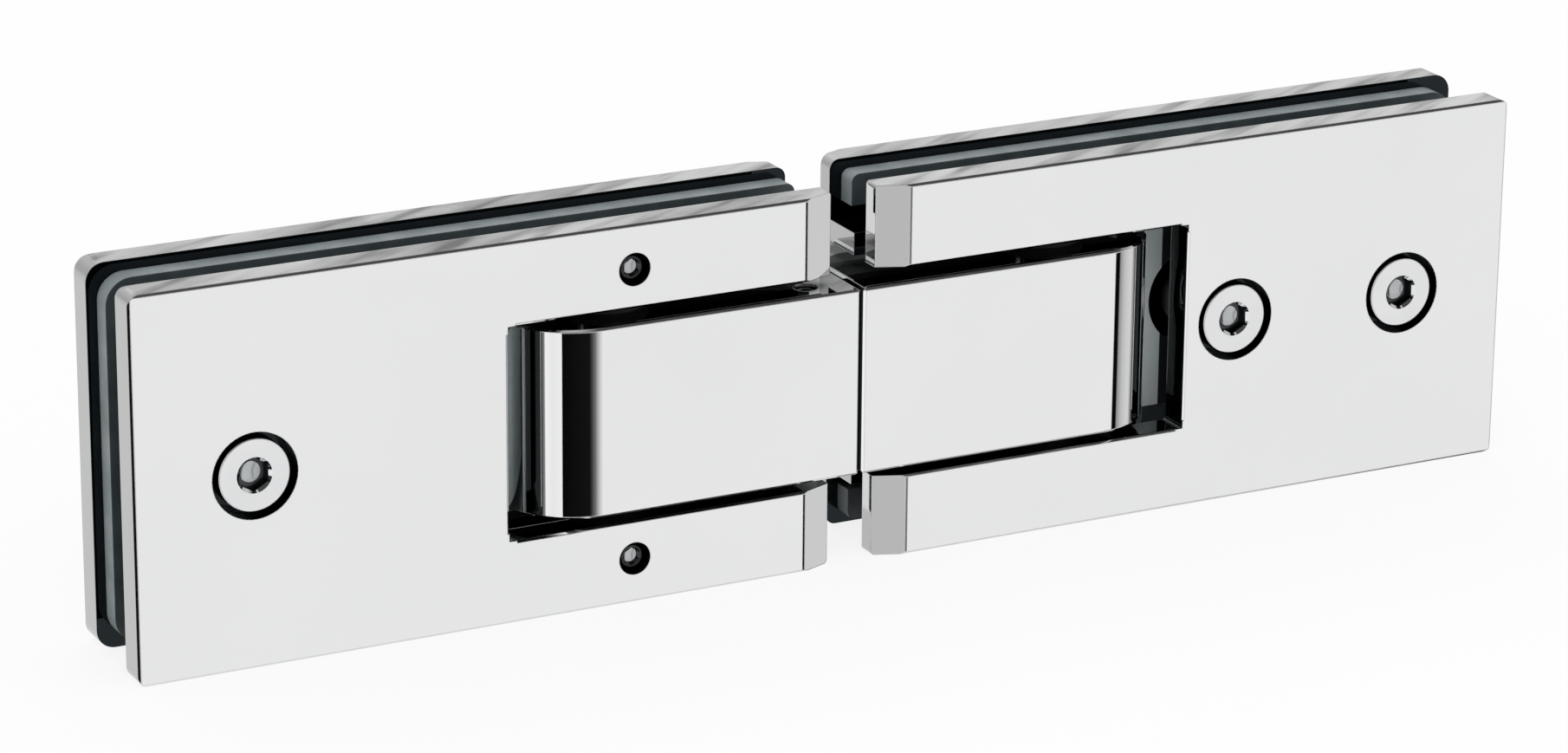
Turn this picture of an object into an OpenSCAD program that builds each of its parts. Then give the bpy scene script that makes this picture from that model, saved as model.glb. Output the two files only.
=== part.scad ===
// Glass to glass door hinge: two clamping leaves that turn on a pair of joined knuckle blocks.
// Millimetres. +X runs along the hinge to the right leaf, +Y goes from the front face to the
// back face, +Z is up, and the origin is the middle of the whole hinge.

/* [Leaves] */
// Distance from the seam between the blocks to a leaf's outer end
leaf_reach = 128; // [124:0.5:170]
// Height of a leaf
leaf_h = 65; // [58:0.5:90]
// Thickness of each front and rear plate
plate_t = 5.5; // [5:0.1:7]
// Distance from the seam to the ends of a leaf's two arms
arm_start = 4.2; // [3:0.1:8]
// Length of the chamfer on the arm ends, measured along the leaf
arm_chamfer_l = 5.8; // [2:0.1:8]
// Depth of the chamfer on the arm ends, measured into the plate
arm_chamfer_d = 2.2; // [1:0.1:3.8]
// Length of the narrow facet where the chamfer meets the plate's face
arm_facet_l = 0.5; // [0.3:0.05:1]
// Depth of that facet
arm_facet_d = 0.08; // [0.04:0.01:0.15]
// Corner radius of the front plates' outer ends
front_corner_r = 1.8; // [1:0.1:4]
// Corner radius of the front plates' arm ends
front_arm_r = 0.6; // [0.3:0.1:2]
// Corner radius of the rear plates' outer ends
rear_corner_r = 3.2; // [1:0.1:5]
// Corner radius of the rear plates' arm ends
rear_arm_r = 1.8; // [0.6:0.1:4]
// Bevel along the outer edges of the plates
plate_bevel = 0.4; // [0.2:0.05:0.8]

/* [Notch] */
// Distance from the seam to the end wall of the notch
notch_reach = 63.5; // [62:0.1:66]
// Height of the notch
notch_h = 36.6; // [34:0.1:38]
// Radius of the notch's inner corners
notch_corner_r = 0.8; // [0.3:0.1:2]

/* [Glass and gaskets] */
// Thickness of the glass panels that the leaves clamp
glass_t = 8; // [8:0.5:12]
// Thickness of the gaskets on the front plates
front_gasket_t = 1.2; // [1:0.1:3]
// Thickness of the gaskets on the rear plates
rear_gasket_t = 3.8; // [1:0.1:4.5]
// How far the gaskets stay back from the plates' outer edges
gasket_inset = 1.8; // [0.5:0.1:2.5]
// How far the left gaskets stay back from the arm ends
left_gasket_back = 0.2; // [0.1:0.1:3]
// How far the right gaskets stay back from the arm ends
right_gasket_back = 2.2; // [0.1:0.1:3]
// Corner radius of the gaskets' outer ends and of their notch
gasket_corner_r = 4.5; // [2:0.1:6]
// Corner radius of the gaskets' arm ends
gasket_arm_r = 1.5; // [0.5:0.1:4]
// Gap between an ear or boss and the gasket cut out round it
gasket_gap = 0.8; // [0.5:0.1:1]
// Gap between the ears' outer sides and the gasket arms
gasket_arm_gap = 3; // [1:0.1:3.5]
// Radius of the gasket holes round the clamp screws
gasket_hole_r = 8.5; // [7:0.1:9]

/* [Knuckle blocks] */
// Distance from the seam to the rounded end of a block
block_reach = 60; // [56:0.1:60.5]
// Gap between a block and the notch, above and below
block_gap = 2.1; // [1.5:0.1:3]
// How far the blocks stand proud of the plates, front and back
block_proud = 1.5; // [0.5:0.1:2.5]
// Corner radius of a block's rounded end
block_end_r = 13; // [8:0.1:13.2]
// Bevel along a block's upper and lower edges
block_bevel = 0.4; // [0.2:0.05:0.8]
// Bevel along the edges of the seam between the blocks
seam_bevel = 0.7; // [0.3:0.05:1.2]

/* [Pivots] */
// Distance from the seam to a pivot axis
pivot_x = 41; // [39:0.1:43]
// Diameter of the pivot pins
pin_d = 8; // [6:0.1:8.4]
// Radial running clearance of a pin in its bushes
pin_running = 0.05; // [0.02:0.01:0.1]
// Depth of the holding flats milled on the middle of a pin
pin_flat_cut = 0.8; // [0.4:0.1:1.2]
// Height of the holding flats
pin_flat_h = 12; // [11:0.1:14]
// Gap between the end of a pin and the top of its boss
pin_sunk = 0.4; // [0.1:0.1:1]
// Gap between a boss and the front plate
boss_gap = 0.2; // [0.1:0.05:0.5]
// Height of the ears along the notch edges
ear_t = 3.9; // [3:0.1:4.4]
// Distance from the rear plate to the front edge of the ears
ear_depth = 9; // [7:0.1:10]
// Distance from the ears' outer ends to the notch's end wall
ear_back = 3.5; // [2:0.1:6]
// Wall of a boss beyond the middle of its set screw
boss_above_screw = 3.4; // [2.6:0.1:4.2]

/* [Bushes] */
// Wall of the bushes
bush_wall = 1.9; // [1.2:0.1:2.4]
// Metal left in a block between a bush and the spring bore
bush_skin = 1.6; // [0.5:0.1:3]
// Width of a bush's flange beyond the sleeve
bush_flange_w = 1.6; // [0.8:0.1:3]
// Free play between a bush's flange and the ear
bush_play = 0.2; // [0.1:0.05:0.4]

/* [Detents] */
// Diameter of the spring bores in the blocks
detent_bore_d = 10; // [9:0.1:11]
// Radial clearance of the plungers and plugs in their bores
detent_fit = 0.06; // [0.03:0.01:0.1]
// Gap between a plunger, drawn back, and the full round of its pin
plunger_gap = 0.3; // [0.3:0.05:0.6]
// Length of a plunger
plunger_l = 8; // [6:0.1:10]
// Diameter of a plunger's nose
nose_d = 6.4; // [5:0.1:7]
// Length of the compressed springs
spring_l = 16; // [12:0.1:17]
// Wire diameter of the springs
spring_wire = 1.5; // [1:0.1:1.8]
// Turns of the springs, dead end turns counted
spring_turns = 6; // [5:0.5:7]
// Length of the plugs behind the springs
plug_l = 6; // [4:0.1:6.5]
// Key size of the plugs
plug_key = 5; // [4:0.5:6]

/* [Joining studs] */
// Diameter of the studs that join the blocks
stud_d = 6; // [5:0.1:6.6]
// Length of the studs
stud_l = 28; // [20:0.5:36]
// Distance of the studs from the middle, towards the front and the back
stud_y = 8.5; // [8:0.1:8.8]
// Height of the studs above and below the middle
stud_z = 8; // [7:0.1:8.5]
// Diameter of the grub screws that lock the studs
grub_d = 4; // [3:0.1:4.6]
// How far the grub screws sit below the block's surface
grub_sunk = 0.6; // [0.1:0.1:1.5]
// Distance from the seam to the grub screws
grub_x = 8; // [6:0.1:10]
// Key size of the grub screws
grub_key = 2; // [1.5:0.5:2]
// Radial clearance of the studs and small screws in their holes
thread_fit = 0.06; // [0.03:0.01:0.1]

/* [Clamp screws] */
// Distance from a leaf's outer end to its outer clamp screw
outer_screw_gap = 20.5; // [12:0.5:26]
// Distance from the notch's end wall to the right leaf's inner clamp screw
inner_screw_gap = 10; // [9:0.5:16]
// Shank diameter of the clamp screws
screw_d = 8; // [6:0.1:8.6]
// Head diameter of the clamp screws
head_d = 12.3; // [11:0.1:13]
// Height of the clamp screws' heads
head_h = 2.8; // [2:0.1:3]
// How far the heads sit below the plate's face
head_sunk = 1; // [0.3:0.1:1.2]
// Diameter of the counterbores for the heads
counterbore_d = 14.6; // [13.5:0.1:16]
// Key size of the clamp screws
screw_key = 5; // [4:0.5:6]
// Depth of the key sockets
screw_key_h = 2.2; // [1.5:0.1:2.6]
// Radial clearance of the shanks in the front plates
shank_clear = 0.4; // [0.2:0.05:0.8]
// Diameter of the threaded bosses on the rear plates
clamp_boss_d = 12; // [11:0.1:13]
// Length of the threaded bosses beyond the rear plate
clamp_boss_l = 8; // [5:0.1:9]
// Metal left between a threaded hole and the rear plate's outer face
thread_skin = 2; // [1.5:0.1:3]

/* [Set screws] */
// Diameter of the left leaf's set screws
set_d = 4; // [3:0.1:4.6]
// Length of the set screws
set_l = 6; // [4:0.1:8]
// Key size of the set screws
set_key = 2; // [1.5:0.5:2.5]
// Depth of the seats for the set screws on the left pin
set_seat = 0.5; // [0.2:0.1:0.8]
// Diameter of the holes for the set screws in the front plate
set_hole_d = 5.6; // [5:0.1:6.5]
// Distance from the leaf's upper and lower edges to the set screws
set_edge_gap = 7.6; // [6:0.1:9]

/* [Hidden] */
$fn = 96;
// Small overlap that joins solids of one piece
weld = 0.5;
// Small reach past a face that a cut goes through
past = 1;
// Chamfer on the ends of pins, studs, plungers and plugs
turned_rim = 0.6;
// Chamfer on screw heads and screw ends
screw_rim = 0.4;
// Distance from the notch's rounded corners at which its bevels stop
bevel_stop = 0.5;
// Free length past the end of a screw or stud in its blind hole
blind_gap = 0.5;
// Room round a pin between its bushes
pin_relief = 0.4;
// Room round a spring in its bore
spring_room = 0.4;
// Room on each side of a set screw in its seat on the pin
seat_room = 0.3;
// Width of the lead-in at the mouth of a clamp screw's socket
key_lead = 0.1;
// Points per turn and sides of the spring wire
SPRING_STEPS = 18;
SPRING_SIDES = 8;

leaf_t = 2 * plate_t + front_gasket_t + rear_gasket_t + glass_t;
front_y = -leaf_t / 2;
rear_y = leaf_t / 2;
front_inner_y = front_y + plate_t;
rear_inner_y = rear_y - plate_t;

detent_r = detent_bore_d / 2;
block_h = notch_h - 2 * block_gap;
block_t = leaf_t + 2 * block_proud;
end_centre_x = block_reach - block_end_r;
end_centre_y = block_t / 2 - block_end_r;

pin_r = pin_d / 2;
boss_r = rear_inner_y - boss_gap;
set_z = leaf_h / 2 - set_edge_gap;
boss_top = set_z + boss_above_screw;
pin_top = boss_top - pin_sunk;
pin_bore_r = pin_r + pin_running;
ear_top = notch_h / 2 + ear_t;
ear_front_y = rear_inner_y - ear_depth;
ear_end = notch_reach - ear_back;
pin_set_y = -(pin_r - set_seat);

bush_r = pin_bore_r + bush_wall;
bush_l = block_h / 2 - detent_r - bush_skin;
bush_flange_r = bush_r + bush_flange_w;
bush_flange_t = block_gap - bush_play;

plunger_tip_x = pivot_x - pin_r - plunger_gap;
plunger_back_x = plunger_tip_x - plunger_l;
spring_back_x = plunger_back_x - spring_l;
spring_r = detent_r - spring_wire / 2 - spring_room;
plug_back_x = spring_back_x - plug_l;

outer_screw_x = leaf_reach - outer_screw_gap;
inner_screw_x = notch_reach + inner_screw_gap;
counterbore_depth = head_sunk + head_h;
head_seat_y = front_y + counterbore_depth;
thread_end_y = rear_y - thread_skin;
screw_end_y = thread_end_y - blind_gap;
clamp_boss_y = rear_inner_y - clamp_boss_l;

stud_r = stud_d / 2;
grub_l = block_h / 2 - stud_z - stud_r - grub_sunk;

gasket_arm_z = ear_top + gasket_arm_gap;
gasket_notch_x = notch_reach + gasket_gap;
lobe_half_w = boss_r + gasket_gap;
lobe_top = boss_top + gasket_gap;
lobe_corner_r = 2;

left_screws = [outer_screw_x];
right_screws = [inner_screw_x, outer_screw_x];
// The left pin slides into its bosses and is held by set screws; the right one is pressed in.
left_pin_clear = 0.02;
right_pin_clear = 0;

CHROME = [0.86, 0.87, 0.88];
STEEL = [0.62, 0.64, 0.66];
DARK_STEEL = [0.30, 0.31, 0.33];
GASKET = [0.45, 0.50, 0.52];
BUSH = [0.12, 0.12, 0.13];

// Everything of a leaf is drawn for the right side; the left side is its mirror image.
module on_left() {
    mirror([1, 0, 0]) children();
}

module upside_down() {
    mirror([0, 0, 1]) children();
}

// Half a turn about X: what lay above and in front then lies below and behind.
module turned_over() {
    rotate([180, 0, 0]) children();
}

// A flat outline drawn in X and Z, made solid from y_low to y_high.
module slab(y_low, y_high) {
    translate([0, y_high, 0]) rotate([90, 0, 0]) linear_extrude(y_high - y_low) children();
}

// A round bar along Y.
module bar_y(r, y_low, y_high) {
    translate([0, y_low, 0]) rotate([-90, 0, 0]) cylinder(r = r, h = y_high - y_low);
}

// A round bar along X.
module bar_x(r, x_low, x_high) {
    translate([x_low, 0, 0]) rotate([0, 90, 0]) cylinder(r = r, h = x_high - x_low);
}

module rounded_rect(x_low, x_high, z_low, z_high, r) {
    wide = x_high - x_low;
    high = z_high - z_low;
    translate([x_low, z_low + r]) square([wide, high - 2 * r]);
    translate([x_low + r, z_low]) square([wide - 2 * r, high]);
    for (x = [x_low + r, x_high - r], z = [z_low + r, z_high - r])
        translate([x, z]) circle(r = r);
}

// Plates

// A rectangle about the middle line with one radius at its arm end and one at its outer end.
module leaf_shape(x_low, x_high, half_h, arm_r, corner_r) {
    rounded_rect(x_low, x_high - corner_r - arm_r, -half_h, half_h, arm_r);
    rounded_rect(notch_reach, x_high, -half_h, half_h, corner_r);
}

// Outline of a leaf with its notch open towards the seam.
module leaf_outline(arm_r, corner_r) {
    difference() {
        leaf_shape(arm_start, leaf_reach, leaf_h / 2, arm_r, corner_r);
        rounded_rect(-notch_reach, notch_reach, -notch_h / 2, notch_h / 2, notch_corner_r);
    }
}

// Everything that a plate with its outer face at front_y may fill: bevels along the long
// edges and the outer end, and the broad chamfer on the arm ends.
module plate_envelope() {
    inner = front_inner_y;
    chamfer_end = arm_start + arm_chamfer_l;
    intersection() {
        rotate([90, 0, 90]) linear_extrude(leaf_reach)
            polygon([[inner, leaf_h / 2], [front_y + plate_bevel, leaf_h / 2],
                [front_y, leaf_h / 2 - plate_bevel], [front_y, plate_bevel - leaf_h / 2],
                [front_y + plate_bevel, -leaf_h / 2], [inner, -leaf_h / 2]]);
        translate([0, 0, -leaf_h / 2]) linear_extrude(leaf_h)
            polygon([[arm_start, inner], [leaf_reach, inner],
                [leaf_reach, front_y + plate_bevel], [leaf_reach - plate_bevel, front_y],
                [chamfer_end, front_y], [chamfer_end - arm_facet_l, front_y + arm_facet_d],
                [arm_start, front_y + arm_chamfer_d]]);
    }
}

// Square prism that bevels a straight edge running along X.
module edge_cut(length) {
    side = plate_bevel * sqrt(2);
    rotate([45, 0, 0]) translate([0, -side / 2, -side / 2]) cube([length, side, side]);
}

// The bevels round the notch run out just before its rounded corners.
module notch_bevels() {
    stop = notch_corner_r + bevel_stop;
    for (z = [-notch_h / 2, notch_h / 2])
        translate([arm_start - past, front_y, z])
            edge_cut(notch_reach - stop - arm_start + past);
    translate([notch_reach, front_y, notch_h / 2 - stop])
        rotate([0, 90, 0]) edge_cut(notch_h - 2 * stop);
}

// A plate whose outer face is at front_y; the rear plate is the same form turned about.
module plain_plate(arm_r, corner_r) {
    difference() {
        intersection() {
            slab(front_y, front_inner_y) leaf_outline(arm_r, corner_r);
            plate_envelope();
        }
        notch_bevels();
    }
}

module screw_seat(x) {
    translate([x, 0, 0]) {
        bar_y(counterbore_d / 2, front_y - past, head_seat_y);
        bar_y(screw_d / 2 + shank_clear, front_y, front_inner_y + past);
    }
}

module front_plate(screw_places, set_screw_holes) {
    color(CHROME) difference() {
        plain_plate(front_arm_r, front_corner_r);
        for (x = screw_places) screw_seat(x);
        if (set_screw_holes)
            for (z = [-set_z, set_z])
                translate([pivot_x, 0, z])
                    bar_y(set_hole_d / 2, front_y - past, front_inner_y + past);
    }
}

// One ear along the upper notch edge, with the boss that holds the end of the pin.
module ear() {
    translate([arm_start, ear_front_y, notch_h / 2])
        cube([ear_end - arm_start, ear_depth + weld, ear_t]);
    translate([pivot_x, 0, notch_h / 2]) {
        cylinder(r = boss_r, h = boss_top - notch_h / 2);
        translate([-boss_r, 0, 0])
            cube([2 * boss_r, rear_inner_y + weld, boss_top - notch_h / 2]);
    }
}

module rear_plate(screw_places, set_screw_holes, bore_clear) {
    color(CHROME) difference() {
        union() {
            mirror([0, 1, 0]) plain_plate(rear_arm_r, rear_corner_r);
            ear();
            upside_down() ear();
            for (x = screw_places)
                translate([x, 0, 0]) bar_y(clamp_boss_d / 2, clamp_boss_y, rear_inner_y + weld);
        }
        translate([pivot_x, 0, -boss_top - past])
            cylinder(r = pin_r + bore_clear, h = 2 * (boss_top + past));
        for (x = screw_places)
            translate([x, 0, 0])
                bar_y(screw_d / 2 + thread_fit, clamp_boss_y - past, thread_end_y);
        if (set_screw_holes)
            for (z = [-set_z, set_z])
                translate([pivot_x, 0, z]) bar_y(set_d / 2 + thread_fit, front_y, 0);
    }
}

// Gaskets

module gasket_outline(screw_places, back) {
    x_low = arm_start + back;
    x_high = leaf_reach - gasket_inset;
    half_h = leaf_h / 2 - gasket_inset;
    difference() {
        leaf_shape(x_low, x_high, half_h, gasket_arm_r, gasket_corner_r);
        rounded_rect(-gasket_notch_x, gasket_notch_x, -gasket_arm_z, gasket_arm_z,
            gasket_corner_r);
        rounded_rect(pivot_x - lobe_half_w, pivot_x + lobe_half_w, -lobe_top, lobe_top,
            lobe_corner_r);
        for (x = screw_places) translate([x, 0]) circle(r = gasket_hole_r);
    }
}

module front_gasket(screw_places, back) {
    color(GASKET) slab(front_inner_y, front_inner_y + front_gasket_t)
        gasket_outline(screw_places, back);
}

module rear_gasket(screw_places, back) {
    color(GASKET) slab(rear_inner_y - rear_gasket_t, rear_inner_y)
        gasket_outline(screw_places, back);
}

// Screws

// A six-sided key socket along Y with a corner upwards, opening at y_mouth.
module key_socket(key, y_mouth, depth) {
    corner_r = key / 2 / cos(30);
    mouth_r = corner_r + key_lead;
    translate([0, y_mouth - past, 0]) rotate([-90, 30, 0])
        cylinder(r = corner_r, h = depth + past, $fn = 6);
    translate([0, y_mouth, 0]) rotate([-90, 0, 0])
        cylinder(r1 = mouth_r, r2 = key / 2, h = mouth_r - key / 2);
}

module clamp_screw(x) {
    head_y = front_y + head_sunk;
    head_r = head_d / 2;
    point = 2.5 * screw_rim;
    color(STEEL) translate([x, 0, 0]) difference() {
        rotate([-90, 0, 0]) rotate_extrude() polygon([[0, head_y], [head_r - screw_rim, head_y],
            [head_r, head_y + screw_rim], [head_r, head_seat_y], [screw_d / 2, head_seat_y],
            [screw_d / 2, screw_end_y - point], [screw_d / 2 - point, screw_end_y],
            [0, screw_end_y]]);
        key_socket(screw_key, head_y, screw_key_h);
    }
}

// A headless screw that stands on its flat point, with the key socket in its top.
module grub(r, length, key) {
    rim = screw_rim;
    socket_h = 0.45 * length;
    difference() {
        rotate_extrude() polygon([[0, 0], [r - 2 * rim, 0], [r, 2 * rim], [r, length - rim],
            [r - rim, length], [0, length]]);
        translate([0, 0, length - socket_h]) rotate([0, 0, 30])
            cylinder(r = key / 2 / cos(30), h = socket_h + past, $fn = 6);
    }
}

module set_screw(z) {
    color(DARK_STEEL) translate([pivot_x, pin_set_y, z]) rotate([90, 0, 0])
        grub(set_d / 2, set_l, set_key);
}

module grub_screw() {
    color(DARK_STEEL) translate([-grub_x, -stud_y, stud_z + stud_r])
        grub(grub_d / 2, grub_l, grub_key);
}

// Pins

module pin_round() {
    rim = turned_rim;
    rotate_extrude() polygon([[0, -pin_top], [pin_r - rim, -pin_top], [pin_r, -pin_top + rim],
        [pin_r, pin_top - rim], [pin_r - rim, pin_top], [0, pin_top]]);
}

// Four flats that the plunger finds with the leaf straight or square to the blocks.
module holding_flats() {
    flat = pin_r - pin_flat_cut;
    for (turn = [0:90:270])
        rotate([0, 0, turn]) translate([flat, -pin_d, -pin_flat_h / 2])
            cube([pin_d, 2 * pin_d, pin_flat_h]);
}

module pivot_pin(set_screw_seats) {
    color(STEEL) translate([pivot_x, 0, 0]) difference() {
        pin_round();
        holding_flats();
        if (set_screw_seats)
            for (z = [-set_z, set_z])
                translate([-pin_d, pin_set_y - pin_d, z - set_d / 2 - seat_room])
                    cube([2 * pin_d, pin_d, set_d + 2 * seat_room]);
    }
}

// Knuckle blocks

// The straight part of a block, from the seam to where the end rounds off.
module block_middle() {
    half_t = block_t / 2;
    half_h = block_h / 2;
    b = block_bevel;
    intersection() {
        rotate([90, 0, 90]) linear_extrude(end_centre_x)
            polygon([[half_t - b, half_h], [b - half_t, half_h], [-half_t, half_h - b],
                [-half_t, b - half_h], [b - half_t, -half_h], [half_t - b, -half_h],
                [half_t, b - half_h], [half_t, half_h - b]]);
        translate([0, 0, -half_h]) linear_extrude(block_h)
            polygon([[0, seam_bevel - half_t], [seam_bevel, -half_t], [end_centre_x, -half_t],
                [end_centre_x, half_t], [seam_bevel, half_t], [0, half_t - seam_bevel]]);
        translate([0, half_t, 0]) rotate([90, 0, 0]) linear_extrude(block_t)
            polygon([[0, seam_bevel - half_h], [seam_bevel, -half_h], [end_centre_x, -half_h],
                [end_centre_x, half_h], [seam_bevel, half_h], [0, half_h - seam_bevel]]);
    }
}

// The rounded end: two upright quarter rounds with a narrow flat between them.
module block_end() {
    half_h = block_h / 2;
    b = block_bevel;
    for (y = [-end_centre_y, end_centre_y])
        translate([end_centre_x, y, 0]) rotate_extrude() polygon([[0, -half_h],
            [block_end_r - b, -half_h], [block_end_r, b - half_h],
            [block_end_r, half_h - b], [block_end_r - b, half_h], [0, half_h]]);
    translate([0, end_centre_y, 0]) rotate([90, 0, 0]) linear_extrude(2 * end_centre_y)
        polygon([[end_centre_x - weld, -half_h], [block_reach - b, -half_h],
            [block_reach, b - half_h], [block_reach, half_h - b],
            [block_reach - b, half_h], [end_centre_x - weld, half_h]]);
}

module block_bores() {
    translate([pivot_x, 0, -block_h / 2 - past])
        cylinder(r = pin_r + pin_relief, h = block_h + 2 * past);
    for (turn = [0, 180])
        rotate([turn, 0, 0]) translate([pivot_x, 0, block_h / 2 - bush_l])
            cylinder(r = bush_r, h = bush_l + past);
    bar_x(detent_r, -past, pivot_x);
}

// One stud hole above the middle towards the front, one below it towards the back.
module stud_holes(grub_holes) {
    for (turn = [0, 180])
        rotate([turn, 0, 0]) translate([0, -stud_y, stud_z]) {
            bar_x(stud_r + thread_fit, -past, stud_l / 2 + blind_gap);
            if (grub_holes)
                translate([grub_x, 0, 0]) cylinder(r = grub_d / 2 + thread_fit, h = block_h);
        }
}

module block(grub_holes) {
    color(CHROME) difference() {
        union() {
            block_middle();
            block_end();
        }
        block_bores();
        stud_holes(grub_holes);
    }
}

module bush() {
    half_h = block_h / 2;
    color(BUSH) translate([pivot_x, 0, 0]) rotate_extrude() polygon([
        [pin_bore_r, half_h - bush_l], [bush_r, half_h - bush_l], [bush_r, half_h],
        [bush_flange_r, half_h], [bush_flange_r, half_h + bush_flange_t],
        [pin_bore_r, half_h + bush_flange_t]]);
}

// Detents

module plunger() {
    r = detent_r - detent_fit;
    nose_r = nose_d / 2;
    cone = r - nose_r;
    color(STEEL) translate([plunger_tip_x, 0, 0]) rotate([0, -90, 0]) rotate_extrude()
        polygon([[0, 0], [nose_r, 0], [r, cone], [r, plunger_l], [0, plunger_l]]);
}

// Height along a spring of turn t: the first and last turns lie closed.
function spring_rise(t) =
    let (open = spring_turns - 2, pitch = (spring_l - 3 * spring_wire) / open)
    t < 1 ? spring_wire * t
        : t > spring_turns - 1 ? spring_l - spring_wire * (spring_turns + 1 - t)
        : spring_wire + pitch * (t - 1);

// One ring of points round the wire at turn t; the wire is a hair thin, so that the
// closed end turns lie beside each other without touching.
function spring_ring(t) = [for (k = [0:SPRING_SIDES - 1])
    let (a = 360 * k / SPRING_SIDES, w = 0.49 * spring_wire, r = spring_r + w * cos(a))
    [r * cos(360 * t), r * sin(360 * t), spring_wire / 2 + spring_rise(t) + w * sin(a)]];

module spring() {
    rings = spring_turns * SPRING_STEPS;
    n = SPRING_SIDES;
    points = [for (i = [0:rings]) each spring_ring(i / SPRING_STEPS)];
    sides = [for (i = [0:rings - 1], k = [0:n - 1])
        [i * n + k, i * n + (k + 1) % n, (i + 1) * n + (k + 1) % n, (i + 1) * n + k]];
    start = [for (k = [n - 1:-1:0]) k];
    finish = [for (k = [0:n - 1]) rings * n + k];
    color(STEEL) translate([spring_back_x, 0, 0]) rotate([0, 90, 0])
        polyhedron(points = points, faces = concat([start], sides, [finish]));
}

module plug() {
    r = detent_r - detent_fit;
    rim = turned_rim;
    color(DARK_STEEL) translate([plug_back_x, 0, 0]) rotate([0, 90, 0]) difference() {
        rotate_extrude() polygon([[0, 0], [r - rim, 0], [r, rim], [r, plug_l - rim],
            [r - rim, plug_l], [0, plug_l]]);
        translate([0, 0, -past]) cylinder(r = plug_key / 2 / cos(30), h = plug_l / 2 + past,
            $fn = 6);
    }
}

module stud() {
    rim = turned_rim;
    half = stud_l / 2;
    color(STEEL) translate([0, -stud_y, stud_z]) rotate([0, 90, 0]) rotate_extrude()
        polygon([[0, -half], [stud_r - rim, -half], [stud_r, rim - half],
            [stud_r, half - rim], [stud_r - rim, half], [0, half]]);
}

// Pieces of the left leaf

module left_front_plate() { on_left() front_plate(left_screws, true); }
module left_rear_plate() { on_left() rear_plate(left_screws, true, left_pin_clear); }
module left_front_gasket() { on_left() front_gasket(left_screws, left_gasket_back); }
module left_rear_gasket() { on_left() rear_gasket(left_screws, left_gasket_back); }
module left_clamp_screw() { clamp_screw(-outer_screw_x); }
module left_upper_set_screw() { on_left() set_screw(set_z); }
module left_lower_set_screw() { on_left() set_screw(-set_z); }
module left_pivot_pin() { on_left() pivot_pin(true); }

// Pieces of the right leaf
module right_front_plate() { front_plate(right_screws, false); }
module right_rear_plate() { rear_plate(right_screws, false, right_pin_clear); }
module right_front_gasket() { front_gasket(right_screws, right_gasket_back); }
module right_rear_gasket() { rear_gasket(right_screws, right_gasket_back); }
module right_inner_clamp_screw() { clamp_screw(inner_screw_x); }
module right_outer_clamp_screw() { clamp_screw(outer_screw_x); }
module right_pivot_pin() { pivot_pin(false); }

// Pieces of the knuckle
module left_block() { on_left() block(true); }
module right_block() { block(false); }
module left_upper_bush() { on_left() bush(); }
module left_lower_bush() { on_left() upside_down() bush(); }
module right_upper_bush() { bush(); }
module right_lower_bush() { upside_down() bush(); }
module left_detent_plunger() { on_left() plunger(); }
module left_detent_spring() { on_left() spring(); }
module left_detent_plug() { on_left() plug(); }
module right_detent_plunger() { plunger(); }
module right_detent_spring() { spring(); }
module right_detent_plug() { plug(); }
module upper_joining_stud() { stud(); }
module lower_joining_stud() { turned_over() stud(); }
module upper_grub_screw() { grub_screw(); }
module lower_grub_screw() { turned_over() grub_screw(); }

left_front_plate();
left_rear_plate();
left_front_gasket();
left_rear_gasket();
left_clamp_screw();
left_upper_set_screw();
left_lower_set_screw();
left_pivot_pin();
right_front_plate();
right_rear_plate();
right_front_gasket();
right_rear_gasket();
right_inner_clamp_screw();
right_outer_clamp_screw();
right_pivot_pin();
left_block();
right_block();
left_upper_bush();
left_lower_bush();
right_upper_bush();
right_lower_bush();
left_detent_plunger();
left_detent_spring();
left_detent_plug();
right_detent_plunger();
right_detent_spring();
right_detent_plug();
upper_joining_stud();
lower_joining_stud();
upper_grub_screw();
lower_grub_screw();
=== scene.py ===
import math

import bmesh
import bpy
from mathutils import Matrix, Vector


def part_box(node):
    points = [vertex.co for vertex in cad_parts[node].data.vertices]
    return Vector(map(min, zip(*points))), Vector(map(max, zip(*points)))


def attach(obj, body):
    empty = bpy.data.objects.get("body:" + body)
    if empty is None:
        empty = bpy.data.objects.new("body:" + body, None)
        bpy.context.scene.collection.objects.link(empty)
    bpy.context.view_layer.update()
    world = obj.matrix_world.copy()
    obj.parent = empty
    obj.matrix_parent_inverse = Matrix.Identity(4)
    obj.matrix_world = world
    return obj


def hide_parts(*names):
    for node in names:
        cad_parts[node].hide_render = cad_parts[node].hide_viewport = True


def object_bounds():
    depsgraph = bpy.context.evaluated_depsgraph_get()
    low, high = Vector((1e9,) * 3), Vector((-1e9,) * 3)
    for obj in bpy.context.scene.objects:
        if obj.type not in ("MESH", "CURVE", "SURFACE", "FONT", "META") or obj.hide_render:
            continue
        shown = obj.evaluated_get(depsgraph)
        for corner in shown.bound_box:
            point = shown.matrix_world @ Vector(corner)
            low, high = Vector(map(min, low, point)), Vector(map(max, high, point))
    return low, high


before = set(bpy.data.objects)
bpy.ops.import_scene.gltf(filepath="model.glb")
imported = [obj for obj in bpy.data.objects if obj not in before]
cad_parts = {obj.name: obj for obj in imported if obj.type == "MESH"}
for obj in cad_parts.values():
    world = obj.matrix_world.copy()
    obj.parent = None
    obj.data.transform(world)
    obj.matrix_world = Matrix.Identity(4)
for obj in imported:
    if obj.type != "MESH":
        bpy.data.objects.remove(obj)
cad_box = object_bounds()
scene = bpy.context.scene
MM = 0.001
WHITE = (1.0, 1.0, 1.0, 1.0)


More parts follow.
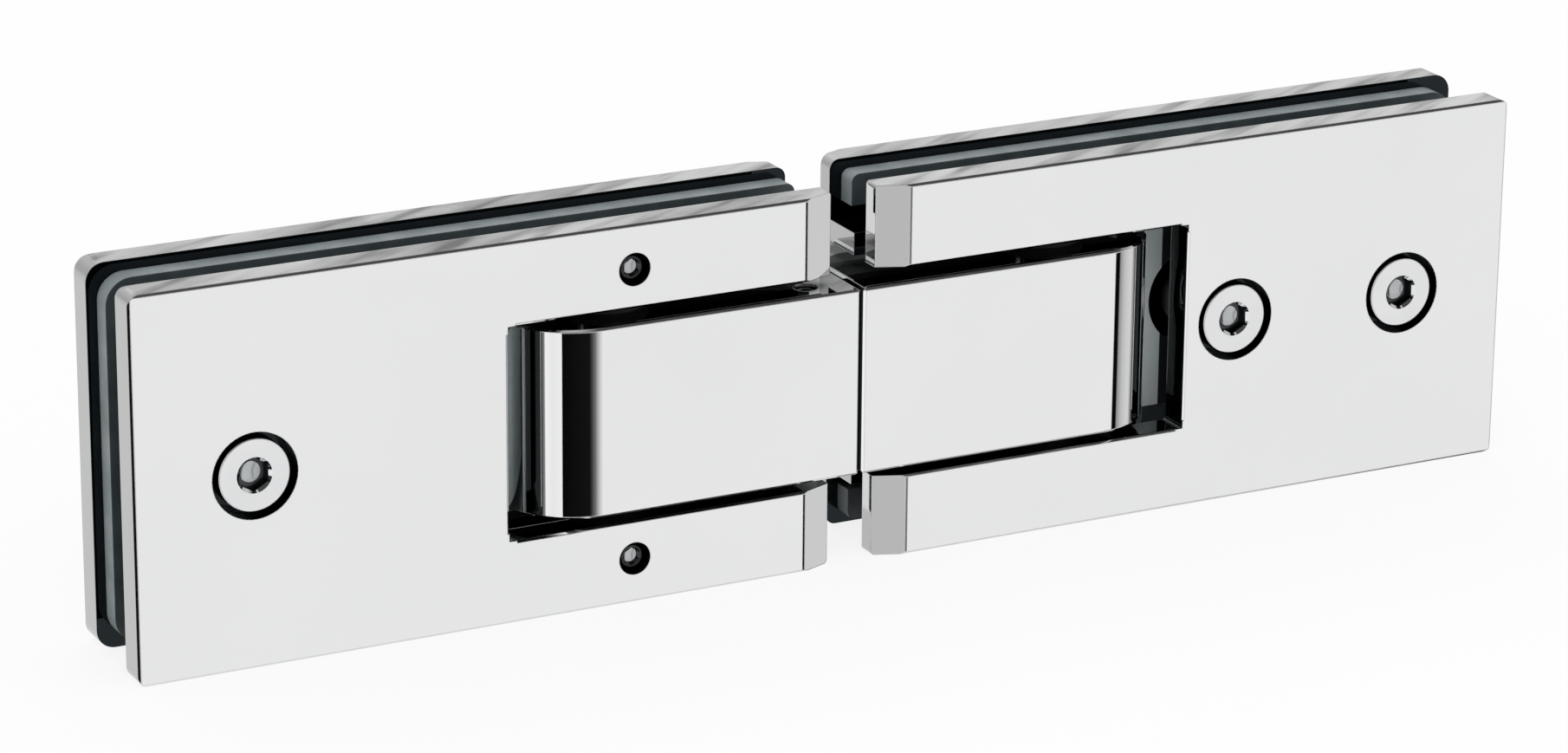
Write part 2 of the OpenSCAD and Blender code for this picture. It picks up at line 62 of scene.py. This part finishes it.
def grey(level):
    """An sRGB level from 0 to 255 as a linear colour."""
    v = level / 255.0
    v = v / 12.92 if v <= 0.04045 else ((v + 0.055) / 1.055) ** 2.4
    return (v, v, v, 1.0)


# Camera, as fitted to the photograph

FOCAL_PX = 6509.13
IMAGE_WIDTH = 1810
SENSOR = 36.0
AZIMUTH = math.radians(27.4853)
ELEVATION = math.radians(18.7831)
ROLL = math.radians(0.4996)
EYE = Vector((-419.715, -792.428, 301.796)) * MM

right = Vector((math.cos(AZIMUTH), -math.sin(AZIMUTH), 0.0))
level_reach = math.cos(ELEVATION)
ahead = Vector((math.sin(AZIMUTH) * level_reach, math.cos(AZIMUTH) * level_reach,
                -math.sin(ELEVATION)))
up = right.cross(ahead)
side = right * math.cos(ROLL) + up * math.sin(ROLL)
top = up * math.cos(ROLL) - right * math.sin(ROLL)
lens = bpy.data.cameras.new("camera")
lens.sensor_width = SENSOR
lens.lens = FOCAL_PX / IMAGE_WIDTH * SENSOR
lens.clip_start = 0.01
lens.clip_end = 50.0
camera = bpy.data.objects.new("camera", lens)
scene.collection.objects.link(camera)
turn = Matrix((side, top, -ahead)).transposed().to_4x4()
camera.matrix_world = Matrix.Translation(EYE) @ turn
scene.camera = camera
scene.view_settings.view_transform = "Standard"


# Node helpers

def add(tree, kind, inputs=None, **settings):
    """Adds a shader node, sets its properties and fills its inputs with values or sockets."""
    n = tree.nodes.new("ShaderNode" + kind)
    for key, value in settings.items():
        setattr(n, key, value)
    for key, value in (inputs or {}).items():
        if isinstance(value, bpy.types.NodeSocket):
            tree.links.new(value, n.inputs[key])
        else:
            n.inputs[key].default_value = value
    return n


def math_node(tree, operation, *values):
    """A Math node's output."""
    return add(tree, "Math", dict(enumerate(values)), operation=operation).outputs[0]


def product(tree, first, *others):
    """Values multiplied with each other."""
    for value in others:
        first = math_node(tree, "MULTIPLY", first, value)
    return first


def share(tree, value, lowest, highest):
    """How far a value is from lowest to highest: 0 to 1."""
    n = add(tree, "MapRange", {"Value": value, "From Min": lowest, "From Max": highest})
    return n.outputs[0]


def ramp(tree, factor, stops):
    """A colour ramp of grey levels. stops is a list of (position, sRGB level)."""
    n = add(tree, "ValToRGB", {"Fac": factor})
    points = n.color_ramp.elements
    while len(points) > 1:
        points.remove(points[-1])
    points[0].position = stops[0][0]
    points[0].color = grey(stops[0][1])
    for place, level in stops[1:]:
        points.new(place).color = grey(level)
    return n.outputs["Color"]


def mixed(tree, factor, first, second, blend="MIX"):
    """Two colours mixed or blended."""
    n = add(tree, "Mix", {0: factor, 6: first, 7: second}, data_type="RGBA", blend_type=blend)
    return n.outputs[2]


def blank_look(name):
    """A material with an empty node tree."""
    m = bpy.data.materials.new(name)
    m.use_nodes = True
    m.node_tree.nodes.clear()
    return m


# Surroundings: what the polished faces mirror, and a pale floor

# Each band is (azimuth in degrees, sRGB level). Azimuth runs from the front, 0, over the left,
# 90, to the back, 180, and below zero over the right. The low bands are what upright faces
# mirror, and the high bands what faces that look up do. One ramp holds 32 stops at most, so the
# low bands are in two ramps.
LOW_BANDS = [
    (-180, 208), (-160, 216), (-140, 226), (-124, 214), (-121.5, 10), (-93, 6), (-89, 20),
    (-84, 150), (-79, 212), (-70, 205), (-62, 190), (-53, 140), (-52, 6), (-44.5, 6), (-44, 234),
    (-13, 236), (-12, 118), (-9.5, 118), (-8.5, 232), (3, 214), (9, 186), (30, 190), (38, 200),
    (39.5, 244), (52, 236), (63.3, 246), (63.8, 135), (67.5, 105)]
LOW_BANDS_BEHIND = [
    (-60, 105), (68.5, 16), (80, 12), (100, 2), (104.5, 16), (115, 77), (120, 113), (131, 153),
    (145, 182), (152, 186), (160, 197), (170, 202), (180, 208)]
BEHIND_FROM = 68.0
HIGH_BANDS = [
    (-180, 212), (-160, 222), (-140, 212), (-100, 170), (-70, 225), (-20, 238), (20, 170),
    (50, 232), (90, 205), (130, 150), (179, 205)]
CROWN_TONE = grey(70)
OVERHEAD_TONE = grey(205)
STREAK_LEVELS = [(0.32, 180), (0.43, 225), (0.54, 246), (0.64, 255), (1.0, 255)]
STREAK_SLANT = 2.6
STREAK_STRETCH = 0.35
PLAIN_STRENGTH = 0.72


def turned(azimuth):
    """An azimuth from -180 to 180 degrees as a place from 0 to 1."""
    return (azimuth + 180.0) / 360.0


world = bpy.data.worlds.new("studio")
scene.world = world
world.use_nodes = True
sky = world.node_tree
sky.nodes.clear()
ray = add(sky, "SeparateXYZ", {"Vector": add(sky, "TexCoord").outputs["Generated"]})
to_left = math_node(sky, "MULTIPLY", ray.outputs["X"], -1.0)
to_front = math_node(sky, "MULTIPLY", ray.outputs["Y"], -1.0)
bearing = math_node(sky, "ARCTAN2", to_left, to_front)
around = math_node(sky, "MULTIPLY_ADD", bearing, 0.5 / math.pi, 0.5)
height = math_node(sky, "ARCSINE", ray.outputs["Z"])


def above(lowest, highest):
    """How far a ray's elevation is between two angles in degrees: 0 to 1."""
    return share(sky, height, math.radians(lowest), math.radians(highest))


def bands(stops):
    """The colour of bands that run round the studio."""
    return ramp(sky, around, [(turned(azimuth), level) for azimuth, level in stops])


behind = math_node(sky, "GREATER_THAN", around, turned(BEHIND_FROM))
low = mixed(sky, behind, bands(LOW_BANDS), bands(LOW_BANDS_BEHIND))
slant = math_node(sky, "MULTIPLY_ADD", height, STREAK_SLANT, bearing)
flatter = math_node(sky, "MULTIPLY", height, STREAK_STRETCH)
streak_place = add(sky, "CombineXYZ", {"X": slant, "Y": flatter})
streaks = add(sky, "TexNoise", {"Vector": streak_place.outputs[0], "Scale": 90.0, "Detail": 1.0,
                                "Roughness": 0.5})
streak_shade = ramp(sky, streaks.outputs["Fac"], STREAK_LEVELS)
high = mixed(sky, 1.0, bands(HIGH_BANDS), streak_shade, "MULTIPLY")
mirrored = mixed(sky, above(-6, 4), low, high)
mirrored = mixed(sky, above(34, 46), mirrored, CROWN_TONE)
mirrored = mixed(sky, above(64, 76), mirrored, OVERHEAD_TONE)
rays = add(sky, "LightPath")
plain = add(sky, "Background", {"Color": WHITE, "Strength": PLAIN_STRENGTH})
seen = add(sky, "Background", {"Color": WHITE, "Strength": 1.0})
glossy = add(sky, "Background", {"Color": mirrored, "Strength": 1.0})
with_gloss = add(sky, "MixShader", {0: rays.outputs["Is Glossy Ray"], 1: plain.outputs[0],
                                    2: glossy.outputs[0]})
with_view = add(sky, "MixShader", {0: rays.outputs["Is Camera Ray"], 1: with_gloss.outputs[0],
                                   2: seen.outputs[0]})
add(sky, "OutputWorld", {"Surface": with_view.outputs[0]})


def plane(name, corners, look):
    """A flat stage piece with four corners."""
    mesh = bpy.data.meshes.new(name)
    mesh.from_pydata(corners, [], [(0, 1, 2, 3)])
    mesh.materials.append(look)
    obj = bpy.data.objects.new(name, mesh)
    scene.collection.objects.link(obj)
    return obj


FLOOR_HALF = 6.0
FLOOR_GAP = 0.02 * MM
FLOOR_LIT = 0.85

floor_look = blank_look("pale_floor")
tree = floor_look.node_tree
matte = add(tree, "BsdfDiffuse", {"Color": grey(246)})
lit = add(tree, "Emission", {"Color": WHITE, "Strength": 1.0})
floor_rays = add(tree, "LightPath")
lit_share = math_node(tree, "MULTIPLY", floor_rays.outputs["Is Camera Ray"], FLOOR_LIT)
floor_mix = add(tree, "MixShader", {0: lit_share, 1: matte.outputs[0], 2: lit.outputs[0]})
add(tree, "OutputMaterial", {"Surface": floor_mix.outputs[0]})
floor_z = cad_box[0][2] - FLOOR_GAP
floor = plane("floor", [(x * FLOOR_HALF, y * FLOOR_HALF, floor_z)
                        for x, y in ((-1, -1), (1, -1), (1, 1), (-1, 1))], floor_look)
floor.visible_glossy = False
floor.visible_shadow = False


def area_light(name, place, size, power):
    """A soft rectangular lamp that shines on the hinge and that polished faces don't mirror."""
    data = bpy.data.lights.new(name, "AREA")
    data.shape = "RECTANGLE"
    data.size, data.size_y = size
    data.energy = power
    lamp = bpy.data.objects.new(name, data)
    scene.collection.objects.link(lamp)
    lamp.location = place
    lamp.rotation_euler = (-Vector(place)).to_track_quat("-Z", "Y").to_euler()
    lamp.visible_glossy = False


def card(name, x_low, x_high, y, z_low, z_high, stops):
    """An upright studio card that only polished faces see. stops are its levels from x_low to
    x_high."""
    look = blank_look(name)
    t = look.node_tree
    place = add(t, "SeparateXYZ", {"Vector": add(t, "TexCoord").outputs["Object"]})
    levels = ramp(t, share(t, place.outputs["X"], x_low, x_high), stops)
    glow = add(t, "Emission", {"Color": levels, "Strength": 1.0})
    add(t, "OutputMaterial", {"Surface": glow.outputs[0]})
    obj = plane(name, [(x_low, y, z_low), (x_high, y, z_low), (x_high, y, z_high),
                       (x_low, y, z_high)], look)
    for ray_kind in ("camera", "diffuse", "transmission", "shadow", "volume_scatter"):
        setattr(obj, "visible_" + ray_kind, False)


# The card stands before the left block and gives its rounded end a black band
block_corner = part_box("left_block")[0]
card("dark_card", block_corner.x + 0.6 * MM, block_corner.x + 14.4 * MM,
     block_corner.y - 5.0 * MM, -20.0 * MM, 15.0 * MM,
     [(0.0, 6), (0.705, 18), (0.729, 35), (0.783, 80), (0.841, 120), (0.902, 180), (0.964, 218),
      (1.0, 236)])

area_light("key_light", (-0.5, -0.9, 1.1), (0.9, 0.7), 5.0)
area_light("fill_light", (0.9, -0.8, 0.7), (0.8, 0.8), 2.4)
area_light("back_light", (0.2, 0.9, 1.0), (1.2, 0.6), 3.0)


# Finishes

def surface(name, metallic, build):
    """A Principled material. build adds its colour, roughness and relief to the shader."""
    m = blank_look(name)
    t = m.node_tree
    shader = add(t, "BsdfPrincipled", {"Metallic": metallic})
    add(t, "OutputMaterial", {"Surface": shader.outputs[0]})
    build(t, shader)
    return m


def noise(t, scale, detail=3.0, rough=0.5, stretch=(1.0, 1.0, 1.0)):
    """A noise value in object space; scale is per metre."""
    where = add(t, "TexCoord").outputs["Object"]
    fitted = add(t, "Mapping", {"Vector": where, "Scale": stretch})
    n = add(t, "TexNoise", {"Vector": fitted.outputs[0], "Scale": scale, "Detail": detail,
                            "Roughness": rough})
    return n.outputs["Fac"]


def roughened(t, shader, value, lowest, highest):
    """Joins a roughness that varies from lowest to highest to the shader."""
    rough = add(t, "MapRange", {"Value": value, "To Min": lowest, "To Max": highest})
    t.links.new(rough.outputs[0], shader.inputs["Roughness"])


def bumped(t, shader, value, strength, distance, edge=None):
    """Joins a height value to the shader's normal, with softened edges of radius edge if
    given."""
    b = add(t, "Bump", {"Strength": strength, "Distance": distance, "Height": value})
    if edge:
        soft = add(t, "Bevel", {"Radius": edge}, samples=6)
        t.links.new(soft.outputs[0], b.inputs["Normal"])
    t.links.new(b.outputs[0], shader.inputs["Normal"])


def coordinate(t, source, axis):
    """One coordinate of the place (Object) or the Normal of a point, in object space."""
    parts = add(t, "SeparateXYZ", {"Vector": add(t, "TexCoord").outputs[source]})
    return parts.outputs[axis]


def facing(t, axis, low=0.5, high=0.9):
    """How squarely a face looks along an axis of its object, in either direction: 0 to 1."""
    return share(t, math_node(t, "ABSOLUTE", coordinate(t, "Normal", axis)), low, high)


def within(t, axis, reach):
    """1 where a point is less than reach from its object's middle plane across an axis."""
    return math_node(t, "LESS_THAN", math_node(t, "ABSOLUTE", coordinate(t, "Object", axis)),
                     reach)


def between(t, axis, near, far):
    """1 where that distance is from near to far."""
    return math_node(t, "SUBTRACT", within(t, axis, far), within(t, axis, near))


def toned(t, value, dark, light):
    """A colour that varies between two close tones."""
    c = add(t, "ValToRGB", {"Fac": value})
    c.color_ramp.elements[0].position = 0.25
    c.color_ramp.elements[0].color = dark
    c.color_ramp.elements[1].position = 0.75
    c.color_ramp.elements[1].color = light
    return c.outputs["Color"]


def with_painted_crevice_shade(t, colour, reach, low, high, shade_tone):
    """A colour with painted shade: it darkens towards the given dark tone where other surfaces
    stand close.
    """
    near = add(t, "AmbientOcclusion", {"Distance": reach}, samples=12)
    open_air = share(t, near.outputs["AO"], low, high)
    return mixed(t, open_air, shade_tone, colour)


def streaked(t, tone):
    """A tone with soft slanting darker streaks on faces that look up or down."""
    place = add(t, "SeparateXYZ", {"Vector": add(t, "TexCoord").outputs["Object"]})
    across = math_node(t, "MULTIPLY_ADD", place.outputs["Y"], -1.7, place.outputs["X"])
    along = math_node(t, "MULTIPLY", place.outputs["Y"], 0.6)
    spot = add(t, "CombineXYZ", {"X": across, "Y": along})
    waves = add(t, "TexNoise", {"Vector": spot.outputs[0], "Scale": 135.0, "Detail": 2.0,
                                "Roughness": 0.45})
    shade = ramp(t, waves.outputs["Fac"],
                 [(0.33, 168), (0.42, 214), (0.5, 242), (0.6, 255), (1.0, 255)])
    shade = mixed(t, facing(t, "Z", 0.9, 0.99), WHITE, shade)
    return mixed(t, 1.0, tone, shade, "MULTIPLY")


# Where painted shade and painted light begin and end, as distances from the middle planes of the
# hinge
SEAM_X = 0.32 * MM
ARM_X = 63.0 * MM
NOTCH_X, NOTCH_Z = 63.6 * MM, 18.35 * MM
LIP_X, LIP_Z = 70.0 * MM, 12.0 * MM
SLOT_Y = 6.9 * MM
RUBBER_X, RUBBER_Z = 100.0 * MM, 19.0 * MM
RIGHT_RUBBER_LIP_X = 67.4 * MM
LEFT_RUBBER_LIP_MORE = 27.6 * MM


def chrome(t, shader, with_painted_shade):
    """Polished chrome with fine ripples. The third argument takes its tone and returns it with
    the painted shade of the piece, and on the plates with the painted light by the notch."""
    roughened(t, shader, noise(t, 90.0, 4.0, 0.6, (1.0, 1.0, 3.0)), 0.012, 0.05)
    tone = toned(t, noise(t, 25.0), (0.925, 0.928, 0.932, 1), (0.955, 0.957, 0.96, 1))
    t.links.new(with_painted_shade(streaked(t, tone)), shader.inputs["Base Color"])
    wave = product(t, noise(t, 60.0, 1.0), facing(t, "Z", 0.9, 0.99))
    ripple = math_node(t, "MULTIPLY_ADD", wave, 7.0, noise(t, 160.0, 2.0))
    bumped(t, shader, ripple, 0.02, 0.0001, 0.25 * MM)


def plate_detail(reach, low):
    """Detail of a plate, with painted shade. The faces that look into the glass slot and the
    notch's walls are painted dark all over as shade, and the slot's faces by the notch a lighter
    grey as painted light. reach and low say how painted shade darkens the crevices of the rest."""
    def build(t, shader):
        def with_painted_shade(tone):
            # Painted light: the slot's faces just beyond the notch take a lighter grey, as if
            # lit through it, and the rest of the slot a near-black painted shade.
            painted_light_lip = product(t, between(t, "X", ARM_X, LIP_X), within(t, "Z", LIP_Z))
            slot_painted_shade = mixed(t, painted_light_lip, (0.022, 0.027, 0.03, 1), (0.36, 0.40, 0.41, 1))
            # Painted shade: the faces that look into the glass slot take that slot tone.
            painted_shade_in_slot = product(t, within(t, "Y", SLOT_Y), facing(t, "Y"))
            tone = mixed(t, painted_shade_in_slot, tone, slot_painted_shade)
            # Painted shade: the notch's walls are dark, a little lighter on faces that look up
            # or down.
            painted_shade_in_notch = product(t, within(t, "X", NOTCH_X), within(t, "Z", NOTCH_Z))
            notch_wall_painted_shade = mixed(t, facing(t, "Z"), (0.03, 0.034, 0.036, 1), (0.16, 0.175, 0.18, 1))
            tone = mixed(t, painted_shade_in_notch, tone, notch_wall_painted_shade)
            # Painted shade in the crevices of the rest.
            return with_painted_crevice_shade(t, tone, reach, low, 0.8, (0.02, 0.024, 0.026, 1))
        chrome(t, shader, with_painted_shade)
    return build


def block_detail(t, shader):
    """Detail of a block, with painted shade: a near-black seam in the middle, and painted
    crevice shade that reaches further on its top and bottom."""
    def with_painted_shade(tone):
        # Painted shade: a near-black strip along the seam where the two blocks meet.
        tone = mixed(t, within(t, "X", SEAM_X), tone, (0.02, 0.022, 0.024, 1))
        # Painted crevice shade, reaching further on faces that look up or down.
        reach = math_node(t, "MULTIPLY_ADD", facing(t, "Z"), 11.2 * MM, 0.8 * MM)
        return with_painted_crevice_shade(t, tone, reach, 0.4, 0.75, (0.04, 0.047, 0.05, 1))
    chrome(t, shader, with_painted_shade)


def screw_detail(t, shader):
    """Detail of a screw's chrome, bright on the head's face, with painted shade in a near-black
    tone round its rim.
    """
    roughened(t, shader, noise(t, 600.0), 0.03, 0.10)
    tone = toned(t, noise(t, 120.0), (0.86, 0.865, 0.875, 1), (0.92, 0.922, 0.93, 1))
    # Painted shade: faces that don't look along the screw's axis, round the head's rim, are
    # near-black.
    tone = mixed(t, facing(t, "Y", 0.1, 0.35), (0.03, 0.031, 0.034, 1), tone)
    t.links.new(tone, shader.inputs["Base Color"])
    bumped(t, shader, noise(t, 900.0, 2.0), 0.02, 0.00004)


def rubber_detail(t, shader):
    """Detail of a gasket in its own grey on its edges, with painted shade: its faces that look
    along Y are dark, and it is nearly black between the arms and in crevices. A pale painted
    light lies on the strip that shows in the end of a notch."""
    grain = noise(t, 2200.0, 4.0, 0.65)
    roughened(t, shader, grain, 0.30, 0.48)
    edge_tone = toned(t, noise(t, 240.0), (0.23, 0.265, 0.275, 1), (0.34, 0.375, 0.385, 1))
    # Painted shade: the faces that look along Y are much darker than the edges.
    face_painted_shade = toned(t, noise(t, 240.0), (0.035, 0.046, 0.05, 1), (0.055, 0.068, 0.072, 1))
    tone = mixed(t, facing(t, "Y"), edge_tone, face_painted_shade)
    # Painted shade: nearly black between the arms.
    painted_shade_between_arms = product(t, within(t, "Z", RUBBER_Z), within(t, "X", RUBBER_X))
    tone = mixed(t, painted_shade_between_arms, tone, (0.012, 0.015, 0.017, 1))
    # Painted shade in crevices.
    tone = with_painted_crevice_shade(t, tone, 6.0 * MM, 0.15, 0.5, (0.010, 0.013, 0.015, 1))
    # Painted light: a pale strip on the gasket just beyond the end of each notch, reaching
    # further on the left.
    on_left = math_node(t, "LESS_THAN", coordinate(t, "Object", "X"), 0.0)
    painted_light_lip_x = math_node(t, "MULTIPLY_ADD", on_left, LEFT_RUBBER_LIP_MORE, RIGHT_RUBBER_LIP_X)
    painted_light_lip = product(t, between(t, "X", ARM_X, painted_light_lip_x), painted_shade_between_arms)
    tone = mixed(t, painted_light_lip, tone, (0.80, 0.86, 0.87, 1))
    t.links.new(tone, shader.inputs["Base Color"])
    bumped(t, shader, grain, 0.2, 0.00005, 0.35 * MM)


def fine_detail(grain, roughness, tone_scale, tones, bump):
    """Detail of a plain finish. grain holds the arguments of its noise, roughness its range,
    tones its two tones and bump its strength and distance."""
    def build(t, shader):
        value = noise(t, *grain)
        roughened(t, shader, value, *roughness)
        t.links.new(toned(t, noise(t, tone_scale), *tones), shader.inputs["Base Color"])
        bumped(t, shader, value, *bump)
    return build


details = {
    "front_chrome": (1.0, plate_detail(4.0 * MM, 0.35)),
    "rear_chrome": (1.0, plate_detail(5.0 * MM, 0.4)),
    "block_chrome": (1.0, block_detail),
    "screw_chrome": (1.0, screw_detail),
    # Painted shade: the walls of the screws' sockets are near-black.
    "socket_painted_shade": (1.0, fine_detail(
        (700.0, 3.0, 0.6, (1.0, 0.2, 1.0)), (0.12, 0.24), 300.0,
        ((0.035, 0.04, 0.042, 1), (0.075, 0.08, 0.083, 1)), (0.08, 0.00004))),
    "drilled_steel": (1.0, fine_detail(
        (900.0, 2.0), (0.10, 0.2), 300.0,
        ((0.48, 0.50, 0.505, 1), (0.58, 0.60, 0.605, 1)), (0.05, 0.00003))),
    "pin_steel": (1.0, fine_detail(
        (400.0, 3.0, 0.6, (1.0, 1.0, 14.0)), (0.16, 0.30), 150.0,
        ((0.42, 0.43, 0.44, 1), (0.56, 0.57, 0.58, 1)), (0.15, 0.00005))),
    "spring_steel": (1.0, fine_detail(
        (900.0,), (0.2, 0.36), 300.0,
        ((0.30, 0.31, 0.33, 1), (0.42, 0.43, 0.45, 1)), (0.12, 0.00004))),
    "black_steel": (0.7, fine_detail(
        (1500.0,), (0.30, 0.48), 400.0,
        ((0.028, 0.028, 0.03, 1), (0.06, 0.06, 0.064, 1)), (0.2, 0.00004))),
    "gasket_rubber": (0.0, rubber_detail),
    "bush_plastic": (0.0, fine_detail(
        (1200.0,), (0.45, 0.6), 200.0,
        ((0.018, 0.019, 0.02, 1), (0.035, 0.036, 0.038, 1)), (0.15, 0.00005))),
}
looks = {name: surface(name, metallic, build) for name, (metallic, build) in details.items()}

# The first row whose ending a node's name has gives its look
LOOK_BY_ENDING = [
    ("_block", "block_chrome"), ("rear_plate", "rear_chrome"), ("front_plate", "front_chrome"),
    ("clamp_screw", "screw_chrome"), ("gasket", "gasket_rubber"), ("bush", "bush_plastic"),
    ("spring", "spring_steel"), ("set_screw", "black_steel"), ("plug", "black_steel"),
    ("grub_screw", "black_steel"), ("", "pin_steel")]

for name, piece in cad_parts.items():
    look = next(look for ending, look in LOOK_BY_ENDING if name.endswith(ending))
    piece.data.materials.clear()
    piece.data.materials.append(looks[look])


# Screws with their sockets, in place of the plain ones

# Their rings go from the bottom of the socket out over the head to the point, each with the
# number of the material between it and the ring before it. Lengths are in millimetres.
PLATE_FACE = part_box("left_front_plate")[0].y / MM
TURN_STEPS = 96
TURN_ANGLES = [2.0 * math.pi * k / TURN_STEPS for k in range(TURN_STEPS)]
SIXTH = math.pi / 3.0
SHARP_ANGLE = math.radians(32.0)


def round_ring(radius, y):
    """A ring of points round the screw's axis, which runs along Y."""
    return [(radius * math.cos(a), y, radius * math.sin(a)) for a in TURN_ANGLES]


def key_ring(key, y):
    """A six-sided ring with one point for each point of a round ring, a corner upwards."""
    points = []
    for a in TURN_ANGLES:
        from_flat = (a + SIXTH / 2.0) % SIXTH - SIXTH / 2.0
        radius = key / 2.0 / math.cos(from_flat)
        points.append((radius * math.cos(a), y, radius * math.sin(a)))
    return points


def turned_rings(*steps):
    """Round rings, each given by its radius, y and material."""
    return [(round_ring(radius, y), shade) for radius, y, shade in steps]


def threaded(radius, root, start, end, pitch):
    """Rings of a thread drawn as grooves side by side."""
    rings = []
    y = start
    while y + pitch <= end:
        rings += turned_rings((root, y + 0.5 * pitch, 0), (radius, y + 0.85 * pitch, 0),
                              (radius, y + pitch, 0))
        y += pitch
    return rings


def node_place(node):
    """A screw's axis, as its x and z, and the y of its front and of its point."""
    low, high = (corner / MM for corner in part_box(node))
    return ((low.x + high.x) / 2.0, (low.z + high.z) / 2.0), low.y, high.y


def screw(node, body, axis, rings, tip_in, tip_out, materials):
    """A closed turned piece that stands for a node."""
    name = node + "_turned"
    verts = [(0.0, tip_in, 0.0)]
    for ring, _ in rings:
        verts += ring
    verts.append((0.0, tip_out, 0.0))
    n = TURN_STEPS
    faces = []
    shades = []
    for k in range(n):
        faces.append((0, 1 + k, 1 + (k + 1) % n))
        shades.append(rings[0][1])
    for r in range(1, len(rings)):
        low, high = 1 + (r - 1) * n, 1 + r * n
        for k in range(n):
            faces.append((low + k, high + k, high + (k + 1) % n, low + (k + 1) % n))
            shades.append(rings[r][1])
    last = 1 + (len(rings) - 1) * n
    for k in range(n):
        faces.append((last + k, len(verts) - 1, last + (k + 1) % n))
        shades.append(rings[-1][1])
    mesh = bpy.data.meshes.new(name)
    mesh.from_pydata([((axis[0] + x) * MM, y * MM, (axis[1] + z) * MM) for x, y, z in verts],
                     [], faces)
    for m in materials:
        mesh.materials.append(looks[m])
    mesh.polygons.foreach_set("material_index", shades)
    shaped = bmesh.new()
    shaped.from_mesh(mesh)
    bmesh.ops.recalc_face_normals(shaped, faces=shaped.faces)
    shaped.to_mesh(mesh)
    shaped.free()
    mesh.set_sharp_from_angle(angle=SHARP_ANGLE)
    mesh.polygons.foreach_set("use_smooth", [True] * len(mesh.polygons))
    obj = bpy.data.objects.new(name, mesh)
    scene.collection.objects.link(obj)
    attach(obj, body)
    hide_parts(node)


def corner_radius(key):
    """Distance from the axis to a corner of a six-sided socket."""
    return key / 2.0 / math.cos(SIXTH / 2.0)


def clamp_screw(node, body):
    """M8 low head just under the plate's face, a socket for a 5 mm key and a threaded shank."""
    axis, front, end = node_place(node)
    face, seat = PLATE_FACE + 0.28, front + 2.8
    head, shank, root, pitch, thread_start = 6.15, 4.0, 3.5, 1.25, -5.0
    key, floor_y = 5.0, face + 2.0
    mouth = corner_radius(key) + 0.14
    rings = turned_rings((1.75, floor_y, 2))
    rings += [(key_ring(key, floor_y), 1), (key_ring(key, face + 0.45), 1)]
    rings += turned_rings(
        (mouth, face, 0), (mouth + 0.06, face, 0), (5.82, face, 0), (5.88, face, 0),
        (6.0, face + 0.05, 0), (6.1, face + 0.16, 0), (head, face + 0.32, 0), (head, seat, 0),
        (shank, seat, 0), (shank, thread_start, 0))
    rings += threaded(shank, root, thread_start, end - 1.2, pitch)
    rings += turned_rings((shank, end - 1.0, 0), (3.0, end, 0))
    screw(node, body, axis, rings, floor_y + 1.0, end,
          ("screw_chrome", "socket_painted_shade", "drilled_steel"))


def set_screw(node, body):
    """Headless screw on its flat point, with its socket a little under the plate's face."""
    axis, _, point = node_place(node)
    face = PLATE_FACE + 1.2
    shank, root, pitch, thread_start = 2.0, 1.7, 0.7, face + 0.6
    key, floor_y = 2.5, face + 0.9
    mouth = corner_radius(key) + 0.1
    rings = turned_rings((1.2, floor_y, 2))
    rings += [(key_ring(key, floor_y), 1), (key_ring(key, face + 0.2), 1)]
    rings += turned_rings(
        (mouth, face, 1), (mouth + 0.05, face, 0), (1.68, face, 0), (1.72, face, 0),
        (1.9, face + 0.1, 0), (shank, face + 0.4, 1), (shank, thread_start, 0))
    rings += threaded(shank, root, thread_start, point - 1.0, pitch)
    rings += turned_rings((shank, point - 0.8, 0), (1.2, point, 0))
    screw(node, body, axis, rings, floor_y + 0.7, point,
          ("black_steel", "socket_painted_shade", "drilled_steel"))


clamp_screw("left_clamp_screw", "left_leaf")
clamp_screw("right_inner_clamp_screw", "right_leaf")
clamp_screw("right_outer_clamp_screw", "right_leaf")
set_screw("left_upper_set_screw", "left_leaf")
set_screw("left_lower_set_screw", "left_leaf")
